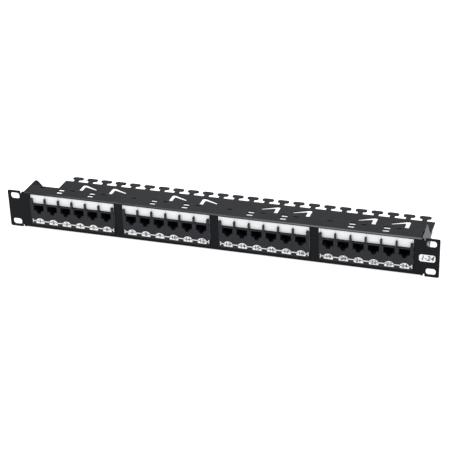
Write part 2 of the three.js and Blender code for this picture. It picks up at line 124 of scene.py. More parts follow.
class Shader:  # one material and its nodes
    def __init__(self, name):
        self.material = bpy.data.materials.new(name)
        self.material.use_nodes = True
        self.tree = self.material.node_tree
        self.tree.nodes.clear()
        self.surface = self.tree.nodes.new("ShaderNodeBsdfPrincipled")
        output = self.tree.nodes.new("ShaderNodeOutputMaterial")
        self.tree.links.new(self.surface.outputs[0], output.inputs["Surface"])

    def put(self, socket, value):
        if isinstance(value, Signal):
            self.tree.links.new(value.socket, socket)
        elif isinstance(value, tuple) and len(value) == 3 and len(socket.default_value) == 4:
            socket.default_value = (*value, 1)
        else:
            socket.default_value = value

    def node(self, kind, settings=None, inputs=None, output=0):
        made = self.tree.nodes.new(kind)
        for key, value in (settings or {}).items():
            if key == "stops":
                self.setStops(made.color_ramp, value)
            elif key == "interpolation":
                made.color_ramp.interpolation = value
            else:
                setattr(made, key, value)
        for key, value in (inputs or {}).items():
            self.put(made.inputs[key], value)
        return Signal(self, made.outputs[output])

    def setStops(self, ramp, stops):
        while len(ramp.elements) < len(stops):
            ramp.elements.new(1)
        for element, (place, colour) in zip(ramp.elements, stops):
            element.position = place
            element.color = (*colour, 1)

    def places(self):  # metres, in the object's own frame
        return self.node("ShaderNodeTexCoord", output="Object")

    def axes(self):
        split = self.tree.nodes.new("ShaderNodeSeparateXYZ")
        self.put(split.inputs[0], self.places())
        return [Signal(self, socket) for socket in split.outputs]

    def noise(self, scale, detail=2, roughness=0.5):
        inputs = {"Vector": self.places(), "Scale": scale, "Detail": detail, "Roughness": roughness}
        return self.node("ShaderNodeTexNoise", inputs=inputs)

    def ramp(self, value, *stops):
        return self.node("ShaderNodeValToRGB", {"stops": stops}, {"Fac": value})

    def spread(self, value, low, high):  # black at low, white at high
        return self.ramp(value, (low, (0, 0, 0)), (high, (1, 1, 1)))

    def mix(self, factor, first, second, blend="MIX"):
        settings = {"data_type": "RGBA", "blend_type": blend}
        return self.node("ShaderNodeMix", settings, {0: factor, 6: first, 7: second}, 2)

    def bump(self, height, depth, strength=1.0):
        inputs = {"Height": height, "Distance": depth, "Strength": strength}
        self.put(self.surface.inputs["Normal"], self.node("ShaderNodeBump", inputs=inputs))

    def set(self, **values):
        for key, value in values.items():
            self.put(self.surface.inputs[self.named[key]], value)

    named = {
        "colour": "Base Color", "roughness": "Roughness", "metallic": "Metallic",
        "gloss": "Specular IOR Level",
    }


powderCoat = {
    "colour": (0.0040, 0.0043, 0.0060),
    "speckColour": (0.0066, 0.0070, 0.0092),
    "paintedBendHighlightColour": (0.150, 0.152, 0.160),  # painted highlight along the top front fold, standing in for light glinting off the bend
    "roughness": 0.40,
    "roughnessSpread": 0.10,
    "gloss": 0.09,
    "grain": 2600,  # cells to the metre
    "orangePeel": 420,
    "depth": 0.00002,
    # where the painted bend highlight lies, how it fades across the panel and how patchy it is
    "foldHeight": 0.02035,
    "foldFront": 0.0012,
    "foldReach": 0.22226,
    "foldSlope": 1.9,  # painted highlight grows stronger to the right
    "foldLevel": 0.62,
    "foldPatchy": 0.9,
}


def makePowderCoat():
    shader = Shader("blackPowderCoat")
    grain = shader.noise(powderCoat["grain"], 3, 0.6)
    peel = shader.noise(powderCoat["orangePeel"], 2)
    cloud = shader.noise(16, 3)
    speck = shader.spread(grain, 0.35, 0.75)
    x, y, z = shader.axes()
    # painted highlight: a mask along the top front bend, stronger to the right and patchy, that
    # mixes in a light grey
    fold = z.above(powderCoat["foldHeight"]) * y.below(powderCoat["foldFront"])
    fold = fold * (x * x).below(powderCoat["foldReach"] ** 2)
    patchy = (cloud - 0.5) * powderCoat["foldPatchy"]
    fold = fold * (x * powderCoat["foldSlope"] + powderCoat["foldLevel"] + patchy)
    uneven = (cloud * 0.6 + grain * 0.4 - 0.5) * powderCoat["roughnessSpread"] * 2
    coat = shader.mix(speck, powderCoat["colour"], powderCoat["speckColour"])
    shader.set(
        # the coat colour with the painted bend highlight mixed in
        colour=shader.mix(fold, coat, powderCoat["paintedBendHighlightColour"]),
        roughness=powderCoat["roughness"] + uneven,
        gloss=powderCoat["gloss"],
    )
    shader.bump(grain * 0.45 + peel, powderCoat["depth"], 0.7)
    return shader.material


jackPlastic = {
    "colour": (0.0115, 0.0118, 0.0165),
    "roughness": 0.46,
    "gloss": 0.22,
    "grain": 3200,
    "depth": 0.000012,
}


def makePlastic(name, look):
    shader = Shader(name)
    grain = shader.noise(look["grain"], 2, 0.6)
    flow = shader.noise(60, 3)
    shade = shader.ramp(flow, (0.3, (0.85, 0.85, 0.85)), (0.7, (1.1, 1.1, 1.1)))
    shader.set(
        colour=shader.mix(1.0, look["colour"], shade, "MULTIPLY"),
        roughness=look["roughness"] + (flow - 0.5) * 0.12 + (grain - 0.5) * 0.06,
        gloss=look["gloss"],
    )
    shader.bump(grain, look["depth"], 0.6)
    return shader.material


card = {
    "colour": (0.80, 0.81, 0.785),
    "fibreColour": (0.73, 0.74, 0.715),
    "roughness": 0.5,
    "fibre": 1500,
    "scoreColour": (0.50, 0.51, 0.50),
    "scoreWidth": 0.00028,
    "scorePitch": 0.01607,
}


def makeCard(name, scored):
    shader = Shader(name)
    fibre = shader.noise(card["fibre"], 4, 0.7)
    tone = shader.noise(40, 2)
    colour = shader.mix(shader.spread(fibre, 0.4, 0.8), card["colour"], card["fibreColour"])
    if scored:  # a fine cut line between one port's card and the next
        x = shader.axes()[0]
        score = x.wrapped(card["scorePitch"]).below(card["scoreWidth"])
        colour = shader.mix(score * 0.8, colour, card["scoreColour"])
    shader.set(colour=colour, roughness=card["roughness"] + (tone - 0.5) * 0.15, gloss=0.35)
    shader.bump(fibre, 0.00001, 0.4)
    return shader.material


ink = {"colour": (0.012, 0.013, 0.022), "thinColour": (0.03, 0.032, 0.05)}


def makeInk():
    shader = Shader("labelInk")
    blot = shader.noise(1800, 3, 0.7)
    shader.set(
        colour=shader.mix(shader.spread(blot, 0.4, 0.8), ink["colour"], ink["thinColour"]),
        roughness=0.5 + (blot - 0.5) * 0.2,
    )
    return shader.material


def makeMetal(name, colour, worn, roughness):
    shader = Shader(name)
    cloud = shader.noise(300, 3)
    grain = shader.noise(2400, 2)
    shader.set(
        colour=shader.mix(shader.spread(cloud, 0.35, 0.8), colour, worn),
        roughness=roughness + (cloud - 0.5) * 0.15,
        metallic=1.0,
    )
    shader.bump(grain, 0.000006, 0.5)
    return shader.material


board = {
    "mask": (0.012, 0.075, 0.035),
    "maskOverCopper": (0.022, 0.12, 0.05),
    "trackPitch": 0.0021,
    "trackWidth": 0.00032,
}


def makeBoard():  # solder mask with the tracks showing through it
    shader = Shader("greenBoard")
    x = shader.axes()[0]
    bend = shader.noise(55, 1)
    lines = (x + bend * 0.006).wrapped(board["trackPitch"]).below(board["trackWidth"])
    patch = shader.noise(70, 0).above(0.45)
    weave = shader.noise(1400, 2)
    copper = lines * patch
    shader.set(
        colour=shader.mix(copper, board["mask"], board["maskOverCopper"]),
        roughness=0.28 + (weave - 0.5) * 0.1,
        gloss=0.5,
    )
    shader.bump(copper + weave * 0.15, 0.00003, 0.6)
    return shader.material


colourCode = {
    "stripes": [(0.02, 0.07, 0.35), (0.65, 0.22, 0.02), (0.03, 0.28, 0.07), (0.16, 0.06, 0.025)],
    "paper": (0.8, 0.8, 0.78),
    "pitch": 0.0038,
}


def makeCodeLabel():  # the wire pairs' colours, blue, orange, green and brown, on white
    shader = Shader("pairColours")
    x = shader.axes()[0]
    fibre = shader.noise(1600, 3)
    count = len(colourCode["stripes"])
    turn = (x / colourCode["pitch"]).maths("FLOORED_MODULO", float(count))
    stops = [(i / count, colour) for i, colour in enumerate(colourCode["stripes"])]
    settings = {"stops": stops, "interpolation": "CONSTANT"}
    stripe = shader.node("ShaderNodeValToRGB", settings, {"Fac": turn / count})
    gap = (x / colourCode["pitch"]).maths("FLOORED_MODULO", 1.0).below(0.45)
    colour = shader.mix(gap, stripe, colourCode["paper"])
    shader.set(colour=colour, roughness=0.5 + (fibre - 0.5) * 0.1)
    return shader.material


blockPlastic = {
    "colour": (0.018, 0.018, 0.020),
    "roughness": 0.5,
    "gloss": 0.4,
    "grain": 2800,
    "depth": 0.000012,
}

materials = {
    "steel": makePowderCoat(),
    "jack": makePlastic("jackPlastic", jackPlastic),
    "block": makePlastic("wiringBlockPlastic", blockPlastic),
    "strip": makeCard("labelCard", True),
    "label": makeCard("numberCard", False),
    "ink": makeInk(),
    "gold": makeMetal("goldPlate", (0.83, 0.56, 0.22), (0.90, 0.68, 0.36), 0.24),
    "tin": makeMetal("tinPlate", (0.62, 0.62, 0.60), (0.48, 0.48, 0.47), 0.34),
    "zinc": makeMetal("zincPlate", (0.58, 0.60, 0.62), (0.45, 0.46, 0.47), 0.32),
    "board": makeBoard(),
    "code": makeCodeLabel(),
}
print("materials made")


def arc(centreU, centreV, radius, start, end, steps=6):
    turns = [math.radians(start + (end - start) * i / steps) for i in range(steps + 1)]
    return [(centreU + radius * math.cos(t), centreV + radius * math.sin(t)) for t in turns]


def roundedBox(u0, u1, v0, v1, radius, steps=6):
    return [
        *arc(u1 - radius, v1 - radius, radius, 0, 90, steps),
        *arc(u0 + radius, v1 - radius, radius, 90, 180, steps),
        *arc(u0 + radius, v0 + radius, radius, 180, 270, steps),
        *arc(u1 - radius, v0 + radius, radius, 270, 360, steps),
    ]


def mirroredLoop(loop):
    return [(-u, v) for u, v in reversed(loop)]


def curveShape(curve):
    holder = bpy.data.objects.new(curve.name, curve)
    bpy.context.collection.objects.link(holder)
    seen = holder.evaluated_get(bpy.context.evaluated_depsgraph_get())
    mesh = bpy.data.meshes.new_from_object(seen)
    bpy.data.objects.remove(holder)
    shape = bmesh.new()
    shape.from_mesh(mesh)
    bpy.data.meshes.remove(mesh)
    return shape


def plate(outline, holes=(), thickness=1.0, bevel=0.2, steps=2):
    # a flat plate with its edges rounded, lying in u and v, with w from 0 to the thickness
    curve = bpy.data.curves.new("outline", "CURVE")
    curve.dimensions = "2D"
    curve.fill_mode = "BOTH"
    curve.extrude = thickness / 2 - bevel
    curve.bevel_depth = bevel
    curve.bevel_resolution = steps
    curve.offset = -bevel
    for loop in [outline, *holes]:
        spline = curve.splines.new("POLY")
        spline.points.add(len(loop) - 1)
        for point, (u, v) in zip(spline.points, loop):
            point.co = (u, v, 0, 1)
        spline.use_cyclic_u = True
    shape = curveShape(curve)
    bmesh.ops.remove_doubles(shape, verts=shape.verts, dist=0.001)
    bmesh.ops.translate(shape, verts=shape.verts, vec=(0, 0, thickness / 2))
    return shape


def moved(shape, place):
    for vertex in shape.verts:
        vertex.co = place(*vertex.co)
    return shape


def standing(front):  # u across, v up, w to the back from the front face
    return lambda u, v, w: (u, front + w, v)


def lying(bottom):  # u across, v to the back, w up
    return lambda u, v, w: (u, v, bottom + w)


def sideways(left):  # u to the back, v up, w across
    return lambda u, v, w: (left + w, u, v)


def bisected(shape, along, values):
    normal = {"u": (1, 0, 0), "v": (0, 1, 0)}[along]
    for value in values:
        everything = [*shape.verts, *shape.edges, *shape.faces]
        point = Vector(normal) * value
        bmesh.ops.bisect_plane(shape, geom=everything, dist=0.0001, plane_co=point, plane_no=normal)


def together(shapes):
    whole = bmesh.new()
    for shape in shapes:
        holder = bpy.data.meshes.new("part")
        shape.to_mesh(holder)
        shape.free()
        whole.from_mesh(holder)
        bpy.data.meshes.remove(holder)
    return whole


sharpAngle = math.radians(38)
sharedMeshes = {}


def finishPiece(name, shape, material, at=(0, 0, 0), body="panel"):
    bmesh.ops.recalc_face_normals(shape, faces=shape.faces)
    bmesh.ops.scale(shape, verts=shape.verts, vec=(mm, mm, mm))
    mesh = bpy.data.meshes.new(name)
    shape.to_mesh(mesh)
    shape.free()
    mesh.shade_smooth()
    mesh.set_sharp_from_angle(angle=sharpAngle)
    return placePiece(name, mesh, material, at, body)


def placePiece(name, mesh, material, at=(0, 0, 0), body="panel"):
    piece = bpy.data.objects.new(name, mesh)
    bpy.context.collection.objects.link(piece)
    if not mesh.materials:
        mesh.materials.append(materials[material])
    weigh = piece.modifiers.new("normals", "WEIGHTED_NORMAL")
    weigh.keep_sharp = True
    piece.location = Vector(at) * mm
    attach(piece, body)
    return piece


def sharedPiece(kind, number, make, material, at, body="panel"):  # copies share one mesh
    name = f"{kind}_{number}"
    if kind in sharedMeshes:
        return placePiece(name, sharedMeshes[kind], material, at, body)
    piece = finishPiece(name, make(), material, at, body)
    sharedMeshes[kind] = piece.data
    return piece


steel = {
    "sheet": 1.5,
    "bodyHalf": 224.8,
    "lipHalf": 222.2,
    "bodyHalfHeight": 21.5,
    "bend": 1.6,
    "bendSteps": 10,
    "earCorner": 1.6,
    "reliefWidth": 1.6,
    "reliefDepth": 3.0,
    "reliefTaper": 0.6,
    "slotWidth": 10.3,
    "slotHeight": 7.0,
    "slotCorner": 2.6,
    "slotX": 232.55,
    "slotZ": 15.875,
    "windowWidth": 100.0,
    "windowTop": 19.6,
    "windowBottom": -16.7,
    "windowCorner": 0.5,
    "edge": 0.22,
}
flange = {
    "depth": 19.2,
    "tieOffset": 18.35,
    "tieShift": 0.7,
    "tieWidth": 6.8,
    "tieRows": [(6.4, 11.1), (12.7, 17.4)],
    "slotWidth": 5.4,
    "slotRows": (14.8, 16.4),
    "slotShift": -5.0,
}
bendStart = steel["bodyHalfHeight"] - steel["bend"]
bendLength = steel["bend"] * math.pi / 2


def unfolded(y):  # how far up the flat blank a place on the lip lies
    return bendStart + bendLength + (y - steel["bend"])


def foldFront(u, v, w):
    height = abs(v)
    side = 1 if v > 0 else -1
    if height <= bendStart or abs(u) > steel["lipHalf"] + 0.1:
        return (u, w, v)
    radius = steel["bend"] - w
    past = height - bendStart
    turn = min(past / bendLength, 1) * math.pi / 2
    y = steel["bend"] - radius * math.cos(turn) + max(past - bendLength, 0)
    return (u, y, side * (bendStart + radius * math.sin(turn)))


def frontQuarter():  # the blank's outline from the right edge round to the top middle
    halfWidth, halfHeight = steelHigh.x, steelHigh.z
    corner, body = steel["earCorner"], steel["bodyHalf"]
    ear, taper = body + steel["reliefWidth"], steel["reliefTaper"] / 2
    low, lipEnd = halfHeight - steel["reliefDepth"], unfolded(flange["depth"])
    lip, top = steel["lipHalf"], steel["bodyHalfHeight"]
    return [
        *arc(halfWidth - corner, halfHeight - corner, corner, 0, 90, 5),
        (ear, halfHeight), (ear - taper, low), (body + taper, low),
        *arc(body - 1.2, top - 1.2, 1.2, 0, 90, 4), (lip + 0.2, top), (lip + 0.2, bendStart),
        (lip, bendStart), (lip, lipEnd - 0.9), (lip - 0.9, lipEnd),
    ]


def frontBlank():
    quarter = frontQuarter()
    half = [(u, -v) for u, v in reversed(quarter)] + quarter
    outline = half + mirroredLoop(half)
    holes = []
    width, height = steel["slotWidth"] / 2, steel["slotHeight"] / 2
    for x in (-steel["slotX"], steel["slotX"]):
        for z in (-steel["slotZ"], steel["slotZ"]):
            sides = (x - width, x + width, z - height, z + height)
            holes.append(roundedBox(*sides, steel["slotCorner"], 8))
    for centre in moduleX.values():
        reach = steel["windowWidth"] / 2
        window = (steel["windowBottom"], steel["windowTop"], steel["windowCorner"], 3)
        holes.append(roundedBox(centre - reach, centre + reach, *window))
        for side in (-1, 1):
            x = centre + flange["tieShift"] + side * flange["tieOffset"]
            reach = flange["tieWidth"] / 2
            for row in flange["tieRows"]:
                near, far = (unfolded(y) for y in row)
                holes.append(roundedBox(x - reach, x + reach, near, far, 0.5, 3))
        for step in (-1, 0, 1):
            x = centre + flange["slotShift"] + step * 2 * flange["tieOffset"]
            reach = flange["slotWidth"] / 2
            rows = [unfolded(y) for y in flange["slotRows"]]
            holes.append(roundedBox(x - reach, x + reach, *rows, 0.5, 3))
    return plate(outline, holes, steel["sheet"], steel["edge"])


def makeFront():
    blank = frontBlank()
    cuts = [bendStart + bendLength * i / steel["bendSteps"] for i in range(steel["bendSteps"] + 1)]
    bisected(blank, "v", [*cuts, *[-value for value in cuts]])
    shape = moved(blank, foldFront)
    return together([shape, sideArm(1), sideArm(-1)])


arm = {
    "sheet": 1.2,
    "outer": 222.2,
    "shoulderY": 34.0,
    "crown": 4.0,
    "backY": 63.0,
    "backZ": -10.5,
    "footY": 53.0,
    "corner": 2.0,
    "screwRows": (44.0, 55.0),
    "screwZ": -8.0,
    "hole": 1.8,
}


def sideArm(side):
    top = steel["bodyHalfHeight"]
    run, fall = arm["backY"] - arm["shoulderY"], top - arm["backZ"]
    peak = [(arm["shoulderY"] + arm["crown"], top - arm["crown"] * fall / run)]
    for step in (0.75, 0.5, 0.25, 0.0):  # the rounded shoulder
        rest = 1 - step
        near, far = (arm["shoulderY"] - arm["crown"], top), peak[0]
        middle = (arm["shoulderY"], top)
        weights = (rest * rest, 2 * rest * step, step * step)
        peak.append(tuple(
            weights[0] * near[i] + weights[1] * middle[i] + weights[2] * far[i] for i in (0, 1)
        ))
    outline = [
        (steel["bend"], -top), (arm["footY"], -top), (arm["backY"], arm["backZ"]),
        *peak, (steel["bend"], top),
        (steel["sheet"] / 2, top - steel["bend"]), (steel["sheet"] / 2, -top + steel["bend"]),
    ]
    holes = [arc(y, arm["screwZ"], arm["hole"], 0, 330, 11) for y in arm["screwRows"]]
    shape = plate(outline, holes, arm["sheet"], 0.2)
    left = arm["outer"] - arm["sheet"] if side > 0 else -arm["outer"]
    return moved(shape, sideways(left))


front = finishPiece("panelFront", makeFront(), "steel")
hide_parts("front_panel")
print("front folded")

tray = {
    "sheet": 1.2,
    "halfWidth": 219.5,
    "back": 105.0,
    "front": 82.0,
    "wingFront": 38.0,
    "wingInner": 217.0,
    "top": -12.4,
    "tabPitch": 18.02,
    "tabs": 24,
    "headWidth": 13.3,
    "headCorner": 2.9,
    "neckWidth": 5.7,
    "neckLength": 5.8,
    "lipBack": 78.0,
    "lipTop": -3.0,
    "lipSlopeStart": 58.0,
    "lipEndDrop": 7.4,
    "bend": 1.8,
    "corner": 1.2,
}
hook = {
    "pairX": 62.3,
    "pairPitch": 111.0,
    "pitch": 36.9,
    "width": 4.6,
    "apex": 99.4,
    "reach": 17.0,
    "drop": 7.4,
    "armWidth": 5.0,
}


def lacingTab(x):  # from its right to its left
    neck, half, radius = tray["neckWidth"] / 2, tray["headWidth"] / 2, tray["headCorner"]
    near, far = tray["back"] + tray["neckLength"], trayHigh.y
    return [
        *arc(x + neck + 0.6, tray["back"] + 0.6, 0.6, 270, 180, 3),
        (x + neck, near),
        *arc(x + half - radius, near + radius, radius, -90, 0),
        *arc(x + half - radius, far - radius, radius, 0, 90),
        *arc(x - half + radius, far - radius, radius, 90, 180),
        *arc(x - half + radius, near + radius, radius, 180, 270),
        (x - neck, near),
        *arc(x - neck - 0.6, tray["back"] + 0.6, 0.6, 0, -90, 3),
    ]


def hookNotch(x):  # an opening from the front edge: back, then slanting to the middle
    outer, inner = x + hook["width"] / 2, x - hook["width"] / 2
    tip = (x - hook["reach"], hook["apex"] - hook["drop"])
    return [
        (inner, tray["front"]), (inner, hook["apex"] - hook["armWidth"] - 0.9),
        (inner - 0.5, hook["apex"] - hook["armWidth"] - 0.4),
        (tip[0] - 0.4, tip[1] - hook["armWidth"] * 0.7), (tip[0] - 0.7, tip[1] - 0.9), tip,
        (inner + 0.6, hook["apex"]), (outer - 1.6, hook["apex"]),
        (outer - 0.5, hook["apex"] - 0.5), (outer, hook["apex"] - 1.6), (outer, tray["front"]),
    ]


def hookPlaces():
    return [
        hook["pairX"] + pair * hook["pairPitch"] + half * hook["pitch"]
        for pair in (0, 1) for half in (-0.5, 0.5)
    ]


trayBend = tray["halfWidth"] + tray["sheet"] - tray["bend"]
trayBendLength = tray["bend"] * math.pi / 2


def foldTray(u, v, w):
    bottom = tray["top"] - tray["sheet"]
    reach = abs(u)
    side = 1 if u > 0 else -1
    if reach <= trayBend or v > tray["lipBack"] + 0.3:
        return (u, v, bottom + w)
    radius = tray["bend"] - w
    past = reach - trayBend
    turn = min(past / trayBendLength, 1) * math.pi / 2
    x = trayBend + radius * math.sin(turn)
    z = bottom + tray["bend"] - radius * math.cos(turn) + max(past - trayBendLength, 0)
    return (side * x, v, z)


def trayBlank():
    lipHeight = tray["lipTop"] - (tray["top"] - tray["sheet"] + tray["bend"])
    lipEnd = trayBend + trayBendLength + lipHeight
    half, corner = tray["halfWidth"], tray["corner"]
    step = half - 0.4
    right = []
    for x in hookPlaces():
        right += hookNotch(x)
    right += [
        (tray["wingInner"] - 1.5, tray["front"]), (tray["wingInner"], tray["front"] - 1.5),
        (tray["wingInner"], tray["wingFront"]), (lipEnd - 1.5, tray["wingFront"]),
        (lipEnd, tray["wingFront"] + 1.5), (lipEnd, tray["lipSlopeStart"]),
        (lipEnd - tray["lipEndDrop"], tray["lipBack"]), (step, tray["lipBack"]),
        (step, tray["lipBack"] + corner), (half, tray["lipBack"] + corner),
        *arc(half - corner, tray["back"] - corner, corner, 0, 90, 4),
    ]
    for number in range(tray["tabs"] - 1, tray["tabs"] // 2 - 1, -1):
        right += lacingTab((number - (tray["tabs"] - 1) / 2) * tray["tabPitch"])
    outline = right + mirroredLoop(right)
    holes = []
    rise = arm["screwZ"] - (tray["top"] - tray["sheet"] + tray["bend"])
    for side in (-1, 1):
        for y in arm["screwRows"]:
            holes.append(arc(side * (trayBend + trayBendLength + rise), y, arm["hole"], 0, 330, 11))
    return plate(outline, holes, tray["sheet"], 0.2)


def makeTray():
    blank = trayBlank()
    cuts = [trayBend + trayBendLength * i / 8 for i in range(9)]
    bisected(blank, "u", [*cuts, *[-value for value in cuts]])
    return moved(blank, foldTray)


trayPiece = finishPiece("trayPlate", makeTray(), "steel")
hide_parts("cable_tray")
print("tray folded")

jack = {
    "half": 49.5,
    "front": -2.0,
    "top": 19.1,
    "bottom": -16.2,
    "ledge": 8.7,
    "bodyBack": 16.0,
    "socketDepth": 12.6,
    "socketTop": 7.9,
    "socketBottom": 1.0,
    "socketWidth": 11.7,
    "latchWidth": 6.2,
    "latchBottom": -0.7,
    "keyWidth": 4.0,
    "keyBottom": -2.6,
    "wall": 2.2,
    "pocketFront": 3.8,
    "pocketTop": 9.1,
    "pocketHalf": 4.4,
    "ribTop": 15.8,
    "ribWidth": 2.0,
    "shoulder": 2.9,
    "postBack": 0.5,
    "postCorner": 0.7,
    "postDrop": 0.8,
    "backingFront": 1.8,
    "backingSheet": 2.4,
    "portPitch": 16.07,
    "portShift": 0.5,
    "edge": 0.28,
}
portOffsets = [(i - 2.5) * jack["portPitch"] + jack["portShift"] for i in range(6)]


def socketMouth(x, pocket=False):
    half, latch, key = jack["socketWidth"] / 2, jack["latchWidth"] / 2, jack["keyWidth"] / 2
    top, low = jack["socketTop"], jack["socketBottom"]
    step, floor = jack["latchBottom"], jack["keyBottom"]
    roof = [(x + half, top), (x - half, top)]
    if pocket:
        reach = jack["pocketHalf"]
        roof = [
            (x + half, top), (x + reach, top), (x + reach, jack["pocketTop"]),
            (x - reach, jack["pocketTop"]), (x - reach, top), (x - half, top),
        ]
    return [
        (x - key, floor), (x + key, floor), (x + key, step), (x + latch, step), (x + latch, low),
        (x + half, low), *roof, (x - half, low), (x - latch, low), (x - latch, step),
        (x - key, step),
    ]


def post(left, right, top):
    corner = jack["postCorner"]
    outline = [
        (left, jack["ledge"] - 1), (right, jack["ledge"] - 1),
        *arc(right - corner, top - corner, corner, 0, 90, 4),
        *arc(left + corner, top - corner, corner, 90, 180, 4),
    ]
    shape = plate(outline, (), jack["postBack"] - jack["front"], 0.22)
    return moved(shape, standing(jack["front"]))


def makeJack():
    half, edge = jack["half"], jack["edge"]
    face = plate(
        roundedBox(-half, half, jack["bottom"], jack["ledge"], 0.6, 3),
        [socketMouth(x) for x in portOffsets],
        jack["pocketFront"] - jack["front"], edge,
    )
    backOutline = roundedBox(-half, half, jack["ledge"] - 2, jack["top"], 0.6, 3)
    backing = plate(backOutline, (), jack["backingSheet"], 0.2)
    bodyHalf = 3 * jack["portPitch"]
    bodyLow, bodyTop = jack["keyBottom"] - jack["wall"], jack["socketTop"] + jack["wall"]
    bodyOutline = roundedBox(-bodyHalf, bodyHalf, bodyLow, bodyTop, 0.6, 3)
    sleeve = plate(
        bodyOutline, [socketMouth(x, True) for x in portOffsets],
        jack["socketDepth"] - jack["pocketFront"], 0.05, 0,
    )
    cap = plate(bodyOutline, (), jack["bodyBack"] - jack["socketDepth"], 0.3)
    shapes = [
        moved(face, standing(jack["front"])),
        moved(backing, standing(jack["backingFront"])),
        moved(sleeve, standing(jack["pocketFront"])),
        moved(cap, standing(jack["socketDepth"])),
        post(-half, -half + jack["shoulder"], jack["ribTop"] - jack["postDrop"]),
        post(half - jack["shoulder"], half, jack["ribTop"] - jack["postDrop"]),
    ]
    for step in range(-2, 3):
        centre, reach = step * jack["portPitch"], jack["ribWidth"] / 2
        shapes.append(post(centre - reach, centre + reach, jack["ribTop"]))
    return together(shapes)


for number, x in moduleX.items():
    piece = sharedPiece("jackHousing", number, makeJack, "jack", (x, 0, 0))
    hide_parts(f"jack_block_{number}")
print("jack housings moulded")

strip = {"face": 0.8, "thickness": 0.7, "low": 9.0, "top": 19.1}
label = {
    "line": -11.3,
    "lineHeight": 1.0,
    "width": 10.0,
    "bottom": -14.2,
    "height": 6.2,
    "shift": 0.7,
    "left": -48.0,
    "right": 49.5,
    "thickness": 0.29,
    "endWidth": 1.0,
    "endHeight": 4.2,
    "digitHeight": 4.4,
    "inkThickness": 0.02,
    "gap": 0.1,
}
labelFront = jack["front"] - label["gap"] - label["thickness"]


def makeStrip():
    half = jack["half"]
    outline = roundedBox(-half, half, strip["low"], strip["top"], 0.4, 3)
    return moved(plate(outline, (), strip["thickness"], 0.12), standing(strip["face"]))


def numberTab(x):
    half, low = label["width"] / 2, label["bottom"]
    base = low + label["height"] * 0.35
    rise = label["bottom"] + label["height"] - base
    turns = [math.pi * i / 18 for i in range(19)]
    dome = [(x + half * math.cos(t), base + rise * math.sin(t)) for t in turns]
    chamfer = 0.4
    return [
        (x - half + chamfer, low), (x + half - chamfer, low),
        (x + half, low + chamfer), *dome, (x - half, low + chamfer),
    ]


def makeNumberLabel():
    left, right, middle = label["left"], label["right"], label["line"]
    line, reach = label["lineHeight"] / 2, label["endHeight"] / 2
    outlines = [numberTab(x + label["shift"]) for x in portOffsets]
    low, high = middle - line, middle + line
    outlines.append([(left, low), (right, low), (right, high), (left, high)])
    for start in (left, right - label["endWidth"]):
        sides = (start, start + label["endWidth"], middle - reach, middle + reach)
        outlines.append(roundedBox(*sides, 0.3, 3))
    shapes = [plate(outline, (), label["thickness"], 0.08, 1) for outline in outlines]
    return together([moved(shape, standing(labelFront)) for shape in shapes])


def makeText(name, words, height, centre, depth, slant=0.0):  # raised ink, facing the front
    curve = bpy.data.curves.new(name, "FONT")
    curve.shear = slant
    curve.body = words
    curve.size = height * 1.4
    curve.align_x = "CENTER"
    curve.align_y = "CENTER"
    curve.extrude = depth / 2
    curve.offset = height * 0.03
    shape = curveShape(curve)
    bmesh.ops.remove_doubles(shape, verts=shape.verts, dist=0.0005)
    x, y, z = centre
    return moved(shape, lambda u, v, w: (x + u, y - w, z + v))


for number, x in moduleX.items():
    cardPiece = sharedPiece("labelCard", number, makeStrip, "strip", (x, 0, 0))
    numbers = sharedPiece("numberLabel", number, makeNumberLabel, "label", (x, 0, 0))
    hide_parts(f"label_strip_{number}")
    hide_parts(f"number_strip_{number}")

for number in portNumbers:
    centre = (portX[number] + label["shift"], labelFront, label["bottom"] + label["height"] * 0.46)
    digits = makeText("digits", str(number), label["digitHeight"], centre, label["inkThickness"])
    piece = finishPiece(f"digits_{number:02d}", digits, "ink")
print("cards and numbers placed")

badge = {"corner": 2.4, "words": "1-24", "height": 5.4, "slant": 0.22}


def makeBadge():
    low, high = boxOf("badge")
    outline = roundedBox(low.x, high.x, low.z, high.z, badge["corner"], 8)
    return moved(plate(outline, (), high.y - low.y, 0.1), standing(low.y))


badgePiece = finishPiece("badgeLabel", makeBadge(), "label")
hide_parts("badge")
badgeLow, badgeHigh = boxOf("badge")
badgeCentre = ((badgeLow.x + badgeHigh.x) / 2, badgeLow.y, (badgeLow.z + badgeHigh.z) / 2)
badgeInk = makeText(
    "badgeInk", badge["words"], badge["height"], badgeCentre, label["inkThickness"], badge["slant"]
)
finishPiece("badgeNumbers", badgeInk, "ink")

spring = {
    "wires": 8,
    "pitch": 1.02,
    "radius": 0.2,
    "path": [
        (4.35, 8.2), (4.6, 8.62), (5.3, 8.55), (7.4, 7.45), (9.8, 6.35), (11.1, 5.85), (11.75, 6.05),
    ],
}


def makeSprings():
    curve = bpy.data.curves.new("springs", "CURVE")
    curve.dimensions = "3D"
    curve.bevel_depth = spring["radius"]
    curve.bevel_resolution = 2
    curve.use_fill_caps = True
    curve.resolution_u = 4
    for wire in range(spring["wires"]):
        x = (wire - (spring["wires"] - 1) / 2) * spring["pitch"]
        line = curve.splines.new("NURBS")
        line.points.add(len(spring["path"]) - 1)
        for point, (y, z) in zip(line.points, spring["path"]):
            point.co = (x, y, z, 1)
        line.use_endpoint_u = True
        line.order_u = 3
    return curveShape(curve)


for number, x in portX.items():
    digits, at = f"{number:02d}", (x, 0, 0)
    piece = sharedPiece("springs", digits, makeSprings, "gold", at, f"contact_{digits}")
    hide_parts(f"contact_comb_{digits}")
print("contacts bent")

